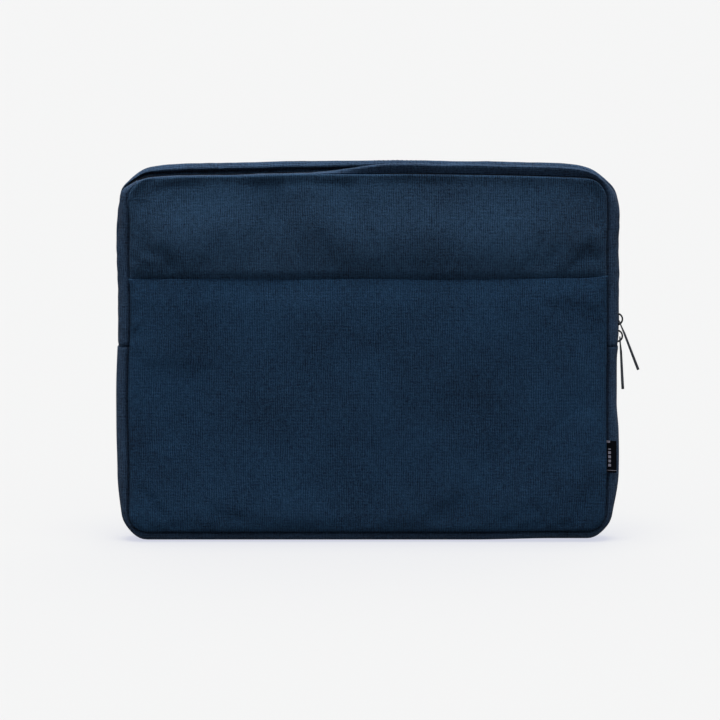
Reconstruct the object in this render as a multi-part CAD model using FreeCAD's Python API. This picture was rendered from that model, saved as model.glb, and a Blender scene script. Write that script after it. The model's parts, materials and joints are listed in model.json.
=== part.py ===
"""A zip-around padded laptop sleeve that stands on its bottom gusset.

Frame: millimetres. +X runs along the width, to the right seen from the front. +Y goes from the
front (pocket side) to the back, and +Z is up. The origin is the middle of the flat face it stands on.

Every ring-shaped piece follows the seam line, a rounded rectangle in the XZ plane. A point of a
ring's section is (out, y): its distance outwards from the seam line, and its depth.
"""

import FreeCAD
import Part
import math
import os

V = FreeCAD.Vector
Y_AXIS = V(0, 1, 0)

# ---- overall ---------------------------------------------------------------------------------
WIDTH = 380.0
HEIGHT = 286.0
BULGE = 7.5  # how far the gusset stands out past the seam line
CORNER_TOP = 29.0  # seam line's corner radii
CORNER_BOTTOM = 19.0
SEAM_X = WIDTH / 2 - BULGE
SEAM_LOW = BULGE
SEAM_HIGH = HEIGHT - BULGE

# ---- layers of the front and back walls, from outside in ---------------------------------------
SHELL_Y = 14.0  # outer face of the front and back cloth
SHELL_T = 0.8
FOAM_T = 4.5
LINING_T = 0.6
FOAM_Y = SHELL_Y - SHELL_T
LINING_Y = FOAM_Y - FOAM_T
CAVITY_Y = LINING_Y - LINING_T
FOAM_INSET = 2.5  # the padding stops this far short of the seam line
LINING_INSET = 2.1

# ---- gusset ----------------------------------------------------------------------------------
GUSSET_FLAT_Y = 8.5  # half the width of its flat outer band
GUSSET_T = 0.9
GUSSET_PAD_IN = 2.0  # its padding reaches this far inside the seam line
GUSSET_PAD_GAP = 0.1  # between the gusset cloth and its padding
GUSSET_TURN_IN = 0.02  # the cloth starts this far inside the seam line
LAP_Z = 147.2  # where the closed gusset laps over both ends of the zip

# ---- front pocket ----------------------------------------------------------------------------
POCKET_TOP = 199.0
POCKET_GAP = 5.2
POCKET_LINING_T = 0.5
POCKET_CLOTH_T = 0.8
POCKET_Y = SHELL_Y + POCKET_GAP + POCKET_LINING_T + POCKET_CLOTH_T
POCKET_ROLL = 4.0  # radius where the cloth rolls over to its seam
POCKET_WALL = 0.9
HEM_WIDTH = 12.0
HEM_T = 0.8

# ---- mouth: the front wall folds forward above this line ---------------------------------------
FOLD_Z = 213.0
FOLD_GAP = 0.3

# ---- zip -------------------------------------------------------------------------------------
TAPE_LOW, TAPE_HIGH = 2.2, 2.8  # tape's inner and outer face, outwards from the seam line
COIL_HIGH = 4.4
COIL_Y = (0.6, 2.6)
TAPE_Y = 11.0
TAPE_CORNER_STEPS = 3  # flat lengths that the tape takes round each corner
STRIP_EDGE_Y = 5.2  # folded edge of the cloth strip beside the zip
STRIP_OUT = 6.4
STRIP_SHOULDER_Y = 8.2
STRIP_LINING_T = 0.6
BINDING_OUT = -9.0
BINDING_T = 1.4

# ---- sliders, on the right-hand side -----------------------------------------------------------
SLIDER_LOW_Z = 155.2
SLIDER_HIGH_Z = 168.0
SLIDER_HALF = 5.7
NOSE_HALF = 4.2
TAIL_HALF = 3.1
PLATE_IN = (0.8, 1.9)  # inner plate, outwards from the seam line
PLATE_OUT = (4.7, 5.9)
FLANGE_Y = 3.0
FLANGE_LOW = 3.1
NECK_HALF = 0.3
NECK_Z = (1.6, 4.9)
PLATE_CORNER = 0.8  # chamfers at the plate's tail and nose
NOSE_CORNER = 1.4
PLATE_TAPER = (-1.2, 1.8)  # the plate widens between these two heights
NOSE_NOTCH = (0.9, 0.5)  # half width and depth of the notch in the nose
METAL_ROUND = 0.35  # radius of the rounded metal edges
BAIL_R = 4.3
BAIL_T = 1.2
BAIL_W = 2.4
BAIL_DROP = 0.3  # the arch's centre lies this far inside the outer plate's face
STOP_Z = (147.8, 149.3)

# ---- pulls -----------------------------------------------------------------------------------
PULL_LEN = 40.0
PULL_EYE_W = 5.6
PULL_SHAFT_W = 4.0
PULL_END_W = 4.6
PULL_EYE_T = 1.0
PULL_END_T = 2.0
EYE_SLOT_W = 3.2
EYE_WALL = 1.1
EYE_CLEARANCE = 0.3  # between the bail and the ends of the eye's slot
EYE_CORNER = 1.2
PULL_TAPER = (4.0, 1.0)  # the end is at its full width between these heights above the tip
THICKENING = 6.0  # the bar thickens over this length: below the eye outside, at the tip inside
HIGH_PULL_TILT = 21.5  # degrees from straight down, outwards
HIGH_PULL_OFFSET = 1.20  # centreline's distance from the bail's centre
LOW_PULL_TILT = 3.5
LOW_PULL_OFFSET = 2.40

# ---- side label --------------------------------------------------------------------------------
LABEL_Z = (53.0, 77.3)
LABEL_X = (0.0, 5.2)
LABEL_Y = (-14.2, -13.2)

BIG = 1000.0


def seam_outline(out):
    """The seam line moved outwards, as a closed wire in the plane y = 0."""
    half, low, high = SEAM_X + out, SEAM_LOW - out, SEAM_HIGH + out
    rt, rb = CORNER_TOP + out, CORNER_BOTTOM + out
    k = math.sqrt(0.5)

    def corner(cx, cz, r, sx, sz, start, end):
        return Part.Arc(start, V(cx + sx * r * k, 0, cz + sz * r * k), end).toShape()

    p = [
        V(half, 0, low + rb),
        V(half, 0, high - rt),
        V(half - rt, 0, high),
        V(rt - half, 0, high),
        V(-half, 0, high - rt),
        V(-half, 0, low + rb),
        V(rb - half, 0, low),
        V(half - rb, 0, low),
    ]
    edges = [
        Part.makeLine(p[0], p[1]),
        corner(half - rt, high - rt, rt, 1, 1, p[1], p[2]),
        Part.makeLine(p[2], p[3]),
        corner(rt - half, high - rt, rt, -1, 1, p[3], p[4]),
        Part.makeLine(p[4], p[5]),
        corner(rb - half, low + rb, rb, -1, -1, p[5], p[6]),
        Part.makeLine(p[6], p[7]),
        corner(half - rb, low + rb, rb, 1, -1, p[7], p[0]),
    ]
    return Part.Wire(edges)


def plate(out, y_from, y_to):
    """A flat layer with the seam line's outline."""
    face = Part.Face(seam_outline(out))
    face.translate(V(0, y_from, 0))
    return face.extrude(V(0, y_to - y_from, 0))


def box(x, y, z):
    """A box from its (low, high) pairs."""
    return Part.makeBox(x[1] - x[0], y[1] - y[0], z[1] - z[0], V(x[0], y[0], z[0]))


def above(shape, z):
    return shape.common(box((-BIG, BIG), (-BIG, BIG), (z, BIG)))


def below(shape, z):
    return shape.common(box((-BIG, BIG), (-BIG, BIG), (-BIG, z)))


def between(shape, low, high):
    return below(above(shape, low), high)


def section(points):
    """A ring's section on the right-hand side, at z = 0. A point is (out, y), or (out, y, "via")
    for the middle point of an arc that ends at the next point."""
    edges = []
    start, via = points[0], None
    for point in list(points[1:]) + [points[0]]:
        if len(point) == 3:
            via = point
            continue
        a = V(SEAM_X + start[0], start[1], 0)
        b = V(SEAM_X + point[0], point[1], 0)
        if via:
            edges.append(Part.Arc(a, V(SEAM_X + via[0], via[1], 0), b).toShape())
        else:
            edges.append(Part.makeLine(a, b))
        start, via = point, None
    return Part.Face(Part.Wire(edges))


def ring_solids(face, corner_steps=1):
    """The section swept along the seam line, as separate straight runs and corner wedges."""
    x_top, z_top = SEAM_X - CORNER_TOP, SEAM_HIGH - CORNER_TOP
    x_low, z_low = SEAM_X - CORNER_BOTTOM, SEAM_LOW + CORNER_BOTTOM

    def turned(x, z, angle):
        moved = face.copy()
        moved.translate(V(0, 0, z))
        moved.rotate(V(x, 0, z), Y_AXIS, angle)
        return moved

    def corner(x, z, turn):
        step = turn / corner_steps
        return [
            turned(x, z, i * step).revolve(V(x, 0, z), Y_AXIS, step) for i in range(corner_steps)
        ]

    right = [turned(x_low, z_low, 0).extrude(V(0, 0, z_top - z_low))]
    right += corner(x_top, z_top, -90) + corner(x_low, z_low, 90)
    left = [s.mirror(V(0, 0, 0), V(1, 0, 0)) for s in right]
    top = turned(x_top, z_top, -90).extrude(V(-2 * x_top, 0, 0))
    bottom = turned(x_low, z_low, 90).extrude(V(-2 * x_low, 0, 0))
    return {"right": right, "left": left, "top": [top], "bottom": [bottom]}


def ring(face):
    """The section swept once round the seam line, as one solid."""
    solids = sum(ring_solids(face).values(), [])
    return solids[0].multiFuse(solids[1:]).removeSplitter()


def mirrored_y(points):
    """The same section at the back, kept in the same turning sense."""
    return [(p[0], -p[1]) + tuple(p[2:]) for p in points]


# ---- closed gusset: bottom and lower sides -------------------------------------------------------
def shoulder(out, y, inset=0.0):
    """The curve from the front seam to (out, y), level where it leaves the seam, moved inwards."""
    rise = FOAM_Y - y
    radius = (out**2 + rise**2) / (2 * rise)
    end = math.asin(out / radius)

    def at(angle):
        r = radius - inset
        return r * math.sin(angle), radius - FOAM_Y - r * math.cos(angle)

    return [at(0.0), at(end / 2) + ("via",), at(end)]


def gusset_section(inset, inner_out):
    """Everything between the gusset's curve, moved inwards, and a flat face at inner_out."""
    front = [(inner_out, inset - FOAM_Y)] + shoulder(BULGE, GUSSET_FLAT_Y, inset)
    back = [(p[0], -p[1]) + tuple(p[2:]) for p in reversed(front)]
    return section(front + back)


def gusset_shell():
    outer = ring(gusset_section(0.0, -GUSSET_TURN_IN))
    inner = ring(gusset_section(GUSSET_T, -GUSSET_PAD_IN))
    return below(outer.cut(inner), LAP_Z)


def gusset_pads():
    """Padding behind the gusset cloth: three straight strips, which leave the corners free to bend."""
    runs = ring_solids(gusset_section(GUSSET_T + GUSSET_PAD_GAP, -GUSSET_PAD_IN))
    return {
        "left": below(runs["left"][0], LAP_Z),
        "right": below(runs["right"][0], LAP_Z),
        "bottom": runs["bottom"][0],
    }


def gusset_lining():
    inner = -GUSSET_PAD_IN - LINING_T
    points = [(inner, -CAVITY_Y), (-GUSSET_PAD_IN, -CAVITY_Y), (-GUSSET_PAD_IN, CAVITY_Y), (inner, CAVITY_Y)]
    return below(ring(section(points)), LAP_Z)


# ---- zip gusset: upper sides and top -------------------------------------------------------------
def strip_points():
    """Front cloth strip: from its panel seam over to the folded edge beside the zip."""
    return shoulder(STRIP_OUT, STRIP_SHOULDER_Y) + [
        (STRIP_OUT - 0.2, -STRIP_EDGE_Y),
        (TAPE_HIGH, -STRIP_EDGE_Y),
        (TAPE_HIGH, -TAPE_Y - 0.1),
        (0.0, -FOAM_Y + GUSSET_T),
    ]


def strip_lining_points():
    low = TAPE_LOW - STRIP_LINING_T
    return [(low, -TAPE_Y), (TAPE_LOW, -TAPE_Y), (TAPE_LOW, -STRIP_EDGE_Y), (low, -STRIP_EDGE_Y)]


def tape_points():
    near = COIL_Y[0]
    return [(TAPE_LOW, -TAPE_Y), (TAPE_HIGH, -TAPE_Y), (TAPE_HIGH, -near), (TAPE_LOW, -near)]


def coil_points():
    near, far = COIL_Y
    middle = (near + far) / 2
    bevel = 0.5
    return [
        (TAPE_HIGH, -far),
        (COIL_HIGH - bevel, -far),
        (COIL_HIGH, -middle, "via"),
        (COIL_HIGH - bevel, -near),
        (TAPE_HIGH, -near),
    ]


def zip_piece(points, corner_steps):
    """A half-zip's rear length, and its front length as the part that folds forward and the part
    that doesn't. With corner steps it is a row of near-straight solids."""

    def swept(face):
        if corner_steps:
            return sum(ring_solids(face, corner_steps).values(), [])
        return [ring(face)]

    def kept(solids, low, high):
        clipped = [between(s, low, high) for s in solids]
        return Part.makeCompound([s for shape in clipped for s in shape.Solids])

    front = swept(section(points))
    rear = swept(section(mirrored_y(points)))
    return {
        "rear": kept(rear, LAP_Z, BIG),
        "front": kept(front, FOLD_Z + FOLD_GAP / 2, BIG),
        "front_fixed": kept(front, LAP_Z, FOLD_Z - FOLD_GAP / 2),
    }


def zip_stop(side):
    """A clip over both coils at one end of the zip. side is 1 on the right, -1 on the left."""
    reach = COIL_Y[1] + 0.6
    low, cap = SEAM_X + TAPE_HIGH, SEAM_X + COIL_HIGH
    clip = box((low, cap + 0.7), (-reach, reach), STOP_Z)
    clip = clip.cut(box((low, cap), (-COIL_Y[1], COIL_Y[1]), STOP_Z))
    return clip if side > 0 else clip.mirror(V(0, 0, 0), V(1, 0, 0))


# ---- walls ---------------------------------------------------------------------------------------
def split_at_fold(shape):
    return below(shape, FOLD_Z - FOLD_GAP / 2), above(shape, FOLD_Z + FOLD_GAP / 2)


def seam_binding(sign):
    """Folded tape round the inside of a seam. sign is -1 at the front, 1 at the back."""
    y = (sign * CAVITY_Y, sign * (CAVITY_Y - BINDING_T))
    low, high = min(y), max(y)
    edge = -GUSSET_PAD_IN - LINING_T - 0.1
    return ring(section([(BINDING_OUT, low), (edge, low), (edge, high), (BINDING_OUT, high)]))


def pocket_panel():
    """Pocket cloth: a shallow dish sewn at its sides and bottom, open at the top."""

    def rolled(out, y_from, radius):
        solid = plate(out, y_from, -SHELL_Y)
        rim = [e for e in solid.Edges if abs(e.BoundBox.YMax - y_from) < 1e-6]
        return solid.makeFillet(radius, rim)

    outer = rolled(0.0, -POCKET_Y, POCKET_ROLL)
    inner = rolled(-POCKET_WALL, -POCKET_Y + POCKET_CLOTH_T, POCKET_ROLL - POCKET_WALL)
    return below(outer.cut(inner), POCKET_TOP)


def pocket_lining():
    y = -POCKET_Y + POCKET_CLOTH_T
    return below(plate(-POCKET_ROLL - 0.2, y, y + POCKET_LINING_T), POCKET_TOP - 0.2)


def pocket_hem():
    """The doubled cloth inside the pocket's mouth."""
    y = -POCKET_Y + POCKET_CLOTH_T + POCKET_LINING_T
    half = SEAM_X - POCKET_ROLL - 1.0
    return box((-half, half), (y, y + HEM_T), (POCKET_TOP - HEM_WIDTH, POCKET_TOP))


def side_label():
    """A folded woven label caught in the front seam."""
    x = (SEAM_X + LABEL_X[0], SEAM_X + LABEL_X[1])
    label = box(x, LABEL_Y, LABEL_Z)
    fold = [
        e
        for e in label.Edges
        if abs(e.BoundBox.XMin - x[1]) < 1e-6 and e.BoundBox.ZLength > 1.0
    ]
    return label.makeFillet(0.4, fold)


# ---- sliders and pulls ---------------------------------------------------------------------------
def slider_plate(x_from, x_to):
    """A slider plate seen from outside: a wide nose at +z tapering to its tail."""
    nose, tail, half = NOSE_HALF, TAIL_HALF, SLIDER_HALF
    notch_y, notch_depth = NOSE_NOTCH
    right_side = [
        (tail - PLATE_CORNER, -half),
        (tail, -half + PLATE_CORNER),
        (tail, PLATE_TAPER[0]),
        (nose, PLATE_TAPER[1]),
        (nose, half - NOSE_CORNER),
        (nose - NOSE_CORNER, half),
        (notch_y, half - notch_depth),
    ]
    points = right_side + [(-y, z) for y, z in reversed(right_side)]
    wire = Part.makePolygon([V(x_from, y, z) for y, z in points + points[:1]])
    return Part.Face(wire).extrude(V(x_to - x_from, 0, 0))


def slider_body(centre_z, nose):
    """Two plates, side flanges and the wedge between the coils. nose is 1 up, -1 down."""
    inner = slider_plate(PLATE_IN[0], PLATE_IN[1])
    outer = slider_plate(PLATE_OUT[0], PLATE_OUT[1])
    rim = [e for e in outer.Edges if abs(e.BoundBox.XMin - PLATE_OUT[1]) < 1e-6]
    outer = outer.makeFillet(METAL_ROUND, rim)
    flange = slider_plate(FLANGE_LOW, PLATE_OUT[0])
    flange = flange.cut(box((0, BIG), (-FLANGE_Y, FLANGE_Y), (-BIG, BIG)))
    neck = box((PLATE_IN[1], PLATE_OUT[0]), (-NECK_HALF, NECK_HALF), NECK_Z)
    body = inner.multiFuse([outer, flange, neck]).removeSplitter()
    if nose < 0:
        body.rotate(V(0, 0, 0), V(1, 0, 0), 180)
    body.translate(V(SEAM_X, 0, centre_z))
    return body


def bail_centre(centre_z):
    return V(SEAM_X + PLATE_OUT[1] - BAIL_DROP, 0, centre_z)


def slider_bail(centre_z):
    """The half-round arch that carries the pull."""
    c = bail_centre(centre_z)
    low, high = BAIL_R - BAIL_T / 2, BAIL_R + BAIL_T / 2
    w = BAIL_W / 2
    corners = [(-w, low), (w, low), (w, high), (-w, high), (-w, low)]
    face = Part.Face(Part.makePolygon([V(c.x, y, c.z - r) for y, r in corners]))
    arch = face.revolve(c, Y_AXIS, -180)
    curved = [e for e in arch.Edges if isinstance(e.Curve, Part.Circle)]
    arch = arch.makeFillet(METAL_ROUND, curved)
    return arch.common(box((c.x + BAIL_DROP, BIG), (-BIG, BIG), (-BIG, BIG)))


def pull(centre_z, tilt, offset):
    """A slim bar with an eye. It is made hanging straight down, offset outwards from the bail's
    centre at the origin, then tilted outwards."""
    thin, thick = PULL_EYE_T / 2, PULL_END_T / 2
    # where the bail's inner and outer curves cross the bar
    slot_high = -math.sqrt((BAIL_R - BAIL_T / 2 - EYE_CLEARANCE) ** 2 - (offset + thin) ** 2)
    slot_low = -math.sqrt((BAIL_R + BAIL_T / 2 + EYE_CLEARANCE) ** 2 - (offset - thin) ** 2)
    top = slot_high + EYE_WALL
    eye_low = slot_low - EYE_WALL
    tip = top - PULL_LEN
    eye, shaft, end = PULL_EYE_W / 2, PULL_SHAFT_W / 2, PULL_END_W / 2
    half_front = [
        (eye - EYE_CORNER, top),
        (eye, top - EYE_CORNER),
        (eye, eye_low),
        (shaft, eye_low - EYE_CORNER),
        (end, tip + PULL_TAPER[0]),
        (end, tip + PULL_TAPER[1]),
        (end - PULL_TAPER[1], tip),
    ]
    front = half_front + [(-y, z) for y, z in reversed(half_front)]
    outer_side = [(thin, top), (thin, eye_low), (thick, eye_low - THICKENING), (thick, tip)]
    inner_side = [(-thin, top), (-thin, eye_low - EYE_CORNER), (-thick, tip + THICKENING), (-thick, tip)]
    side = outer_side + inner_side[::-1]
    front_wire = Part.makePolygon([V(-5, y, z) for y, z in front + front[:1]])
    side_wire = Part.makePolygon([V(x, -5, z) for x, z in side + side[:1]])
    seen_front = Part.Face(front_wire).extrude(V(10, 0, 0))
    seen_side = Part.Face(side_wire).extrude(V(0, 10, 0))
    slot = box((-5, 5), (-EYE_SLOT_W / 2, EYE_SLOT_W / 2), (slot_low, slot_high))
    bar = seen_front.common(seen_side).cut(slot)
    bar.translate(V(offset, 0, 0))
    bar.rotate(V(0, 0, 0), Y_AXIS, -tilt)
    bar.translate(bail_centre(centre_z))
    return bar


def make_parts():
    parts = {}

    front_cloth = plate(0.0, -SHELL_Y, -FOAM_Y)
    parts["front_shell_lower"], parts["front_shell_flap"] = split_at_fold(front_cloth)
    front_foam = plate(-FOAM_INSET, -FOAM_Y, -LINING_Y)
    parts["front_foam_lower"], parts["front_foam_flap"] = split_at_fold(front_foam)
    front_lining = plate(-LINING_INSET, -LINING_Y, -CAVITY_Y)
    parts["front_lining_lower"], parts["front_lining_flap"] = split_at_fold(front_lining)
    binding = seam_binding(-1)
    parts["seam_binding_front_lower"], parts["seam_binding_front_flap"] = split_at_fold(binding)

    parts["back_shell"] = plate(0.0, FOAM_Y, SHELL_Y)
    parts["back_foam"] = plate(-FOAM_INSET, LINING_Y, FOAM_Y)
    parts["back_lining"] = plate(-LINING_INSET, CAVITY_Y, LINING_Y)
    parts["seam_binding_back"] = seam_binding(1)

    parts["gusset_shell"] = gusset_shell()
    for place, pad in gusset_pads().items():
        parts[f"gusset_foam_{place}"] = pad
    parts["gusset_lining"] = gusset_lining()

    parts["pocket_panel"] = pocket_panel()
    parts["pocket_lining"] = pocket_lining()
    parts["pocket_hem"] = pocket_hem()
    parts["side_label"] = side_label()

    pieces = {
        "zip_strip": (strip_points(), 0),
        "zip_strip_lining": (strip_lining_points(), 0),
        "zip_tape": (tape_points(), TAPE_CORNER_STEPS),
        "zip_coil": (coil_points(), 0),
    }
    for name, (points, corner_steps) in pieces.items():
        for place, shape in zip_piece(points, corner_steps).items():
            parts[f"{name}_{place}"] = shape
    parts["zip_stop_right"] = zip_stop(1)
    parts["zip_stop_left"] = zip_stop(-1)

    parts["slider_lower_body"] = slider_body(SLIDER_LOW_Z, 1)
    parts["slider_lower_bail"] = slider_bail(SLIDER_LOW_Z)
    parts["pull_lower"] = pull(SLIDER_LOW_Z, LOW_PULL_TILT, LOW_PULL_OFFSET)
    parts["slider_upper_body"] = slider_body(SLIDER_HIGH_Z, -1)
    parts["slider_upper_bail"] = slider_bail(SLIDER_HIGH_Z)
    parts["pull_upper"] = pull(SLIDER_HIGH_Z, HIGH_PULL_TILT, HIGH_PULL_OFFSET)
    return parts


def main():
    os.makedirs("parts", exist_ok=True)
    for name, shape in make_parts().items():
        solids = shape.Solids
        whole = solids[0] if len(solids) == 1 else Part.makeCompound(solids)
        whole.exportStep(f"parts/{name}.step")
        size = whole.BoundBox
        print(
            f"{name:28s} solids {len(solids)} valid {whole.isValid()} "
            f"volume {sum(s.Volume for s in solids):10.1f} "
            f"x {size.XMin:7.1f}..{size.XMax:6.1f} y {size.YMin:6.1f}..{size.YMax:5.1f} "
            f"z {size.ZMin:6.1f}..{size.ZMax:6.1f}"
        )


main()
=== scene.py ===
"""The laptop sleeve's looks: cloth, padding, zip and hardware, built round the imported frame.

Lengths are millimetres on the frame's own axes, and become metres when a mesh is made. Every ring-shaped
piece follows the seam line, a rounded rectangle seen from the front. A point of a ring's section is
(out, y): its distance outwards from the seam line, and its depth.
"""
import bmesh
import bpy
import json
import math
import numpy as np
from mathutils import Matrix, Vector

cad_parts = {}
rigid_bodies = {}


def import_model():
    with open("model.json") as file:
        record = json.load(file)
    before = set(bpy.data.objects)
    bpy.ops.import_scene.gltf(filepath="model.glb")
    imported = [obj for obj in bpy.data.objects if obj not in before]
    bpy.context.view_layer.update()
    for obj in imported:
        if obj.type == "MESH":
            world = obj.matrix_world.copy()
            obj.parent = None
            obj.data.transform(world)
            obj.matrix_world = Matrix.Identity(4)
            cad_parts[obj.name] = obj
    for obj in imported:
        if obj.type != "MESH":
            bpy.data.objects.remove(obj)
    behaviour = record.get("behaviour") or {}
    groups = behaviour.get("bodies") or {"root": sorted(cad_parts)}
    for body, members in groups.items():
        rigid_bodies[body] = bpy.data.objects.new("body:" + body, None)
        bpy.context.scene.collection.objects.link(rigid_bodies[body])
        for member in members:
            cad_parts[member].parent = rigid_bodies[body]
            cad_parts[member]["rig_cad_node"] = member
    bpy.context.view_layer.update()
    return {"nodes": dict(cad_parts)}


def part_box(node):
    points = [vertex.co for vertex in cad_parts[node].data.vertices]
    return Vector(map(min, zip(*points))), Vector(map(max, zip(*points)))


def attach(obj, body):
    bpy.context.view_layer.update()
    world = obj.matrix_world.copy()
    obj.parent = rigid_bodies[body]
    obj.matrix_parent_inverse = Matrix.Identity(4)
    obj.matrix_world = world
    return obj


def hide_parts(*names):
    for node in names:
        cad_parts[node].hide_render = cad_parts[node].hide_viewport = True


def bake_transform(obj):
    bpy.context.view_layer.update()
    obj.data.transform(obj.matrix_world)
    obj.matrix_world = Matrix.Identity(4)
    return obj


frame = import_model()

MM = 0.001
QUARTER = math.pi / 2


def cad_box(node):
    low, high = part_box(node)
    return np.array(low) / MM, np.array(high) / MM


# ---- driving dimensions, from the frame ----
BACK_LOW, BACK_HIGH = cad_box("back_shell")
HALF = BACK_HIGH[0] - 1.5  # seam line, a little inside the CAD's at the sides
LOW = BACK_LOW[2] - 0.6
HIGH = BACK_HIGH[2] + 2.2
R_TOP, R_LOW = 17.0, 14.0
LAP_Z = cad_box("gusset_shell")[1][2]
POCKET_TOP = cad_box("pocket_panel")[1][2] + 1.0
TAPE_SIDE = cad_box("zip_tape_rear")[1][0] - HALF - 0.3  # how far the tape stands out, at the sides
TAPE_TOP = cad_box("zip_tape_rear")[1][2] - HIGH - 0.3
LINING_Y = cad_box("back_lining")[1][1]
CAVITY_Y = cad_box("back_lining")[0][1]
LABEL_LOW, LABEL_HIGH = cad_box("side_label")

# ---- looks ----
CLOTH_T, POCKET_T, STRIP_T, TAPE_T = 0.8, 0.7, 0.6, 0.5  # thicknesses
LINING_T, FOAM_T, GUSSET_FOAM_T = 0.4, 4.1, 2.2
PATCH_DEPTH = 18.5  # width of the ring-shaped part of a panel's mesh

TOP_BOW = 1.5  # how far the top has dropped, 120 from its middle
CORNER_IN, CORNER_DOWN = 0.4, 0.8  # slack of the top corners
LOW_SIDE_IN = 0.6  # how far the sides are drawn in at the bottom
LEFT_OUT, LEFT_EAR = 1.1, 1.7  # the left side stands out, and the front panel's corner more so
LOW_RIGHT_UP = 1.05  # the bottom right-hand corner stands off the floor

FRONT_SWELL, FRONT_LEAN, FRONT_HELD = 1.8, 2.8, 0.4  # above the pocket, up to the top, at the pocket's mouth
HEM_RECESS = 3.6  # room for the pocket's doubled hem
POCKET_LEAN, MOUTH_LEAN = 0.7, 2.3
MOUTH_RADIUS = 1.0  # of the fold along the pocket's mouth
POCKET_LINING_DEPTH = 1.15
FRONT_REACH, BACK_REACH, POCKET_REACH = 1.6, 2.0, 0.7  # how far the stuffing may push each panel

GUSSET_BULGE = 9.0
GUSSET_NARROW = 4.3  # how much less it bulges at the bottom corners
GUSSET_BULGE_LOW = LOW  # the sleeve stands on its bottom gusset
GUSSET_HALF = 13.3
LAP_LIFT = 0.6  # the gusset's ends lie over the zip
PULL_ROOM = 1.3  # the gusset keeps clear of the lower pull


# ---- the seam line ----
SEAM_STEPS = [
    (HALF - R_LOW, 0),
    (QUARTER * R_LOW, R_LOW),
    (HIGH - LOW - R_LOW - R_TOP, 0),
    (QUARTER * R_TOP, R_TOP),
    (2 * (HALF - R_TOP), 0),
    (QUARTER * R_TOP, R_TOP),
    (HIGH - LOW - R_LOW - R_TOP, 0),
    (QUARTER * R_LOW, R_LOW),
    (HALF - R_LOW, 0),
]
SEAM_LENGTH = sum(length for length, radius in SEAM_STEPS)
CORNER_S = sum(length for length, radius in SEAM_STEPS[:3]) + QUARTER * R_TOP / 2  # a top corner's middle
LAP_S = HALF - R_LOW + QUARTER * R_LOW + LAP_Z - LOW - R_LOW  # the right-hand end of the zip


def seam(s):
    """Points (x, z) and outward directions of the seam line at distances s from the middle of the
    bottom, going right and up first."""
    s = np.asarray(s, float) % SEAM_LENGTH
    point, outward = np.zeros(s.shape + (2,)), np.zeros(s.shape + (2,))
    start, heading, passed = np.array([0.0, LOW]), 0.0, 0.0
    for length, radius in SEAM_STEPS:
        here = (s >= passed) & (s <= passed + length + 1e-9)
        t = s[here] - passed
        angle = heading + (t / radius if radius else 0 * t)
        right = np.stack([np.sin(angle), -np.cos(angle)], -1)
        if radius:
            centre = start + radius * np.array([-math.sin(heading), math.cos(heading)])
            point[here] = centre + radius * right
            heading += length / radius
            start = centre + radius * np.array([math.sin(heading), -math.cos(heading)])
        else:
            along = np.array([math.cos(heading), math.sin(heading)])
            point[here] = start + t[:, None] * along
            start = start + length * along
        outward[here] = right
        passed += length
    return point, outward


def smooth(t):
    t = np.clip(t, 0.0, 1.0)
    return t * t * (3 - 2 * t)


def waves(a, b, length, seed, count=9):
    """A soft random field of about unit height and the given wavelength over two coordinates."""
    random = np.random.default_rng(seed)
    total = 0.0
    for _ in range(count):
        turn, phase = random.uniform(0, 2 * math.pi, 2)
        k = 2 * math.pi / (length * random.uniform(0.7, 1.5))
        total = total + np.cos(k * (a * math.cos(turn) + b * math.sin(turn)) + phase)
    return total / math.sqrt(count / 2)


def lengths(line):
    """How far along a line each of its points lies."""
    return np.concatenate([[0], np.cumsum(np.linalg.norm(np.diff(line, axis=0), axis=1))])


def unit(vectors):
    return vectors / np.linalg.norm(vectors, axis=1, keepdims=True)


def settle(p):
    """The soft irregularity that every piece shares: a bowed top, drawn-in lower sides, slack corners."""
    x, y, z = p[..., 0], p[..., 1], p[..., 2]
    top = smooth((z - 190) / 85)
    bow = TOP_BOW * (x / 120) ** 2
    corner = smooth((np.abs(x) - 140) / 50) * smooth((z - 235) / 50)
    low_side = np.clip((62 - z) / 62, 0, 1) ** 1.2
    moved = p.copy()
    drawn = LOW_SIDE_IN * low_side + CORNER_IN * corner
    moved[..., 0] = x - np.sign(x) * smooth(np.abs(x) / 150) * drawn
    steady = 1 - smooth(x / 150) * np.exp(-(((z - LAP_Z - 24) / 42) ** 4))  # straight beside the sliders
    moved[..., 0] += 0.35 * waves(z, 0 * z, 70, 3) * smooth((np.abs(x) - 120) / 60) * steady
    moved[..., 0] += LEFT_OUT * smooth((-x - 120) / 60) * smooth((z - 100) / 60)
    ear = smooth((-x - 150) / 30) * np.exp(-((z - 265) / 14) ** 2) * smooth((-y - 11.5) / 2.5)
    moved[..., 0] -= LEFT_EAR * ear
    moved[..., 2] = z - top * bow - CORNER_DOWN * corner + 0.2 * top * waves(x, 0 * x, 90, 4)
    moved[..., 2] += LOW_RIGHT_UP * smooth((x - 82) / 60) * (1 - smooth((z - 2) / 14))
    return moved


# ---- meshes ----
def grid_faces(rows, columns, first=0):
    i, j = np.meshgrid(np.arange(rows - 1), np.arange(columns - 1), indexing="ij")
    a = (first + i * columns + j).ravel()
    return np.stack([a, a + 1, a + columns + 1, a + columns], -1)


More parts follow.
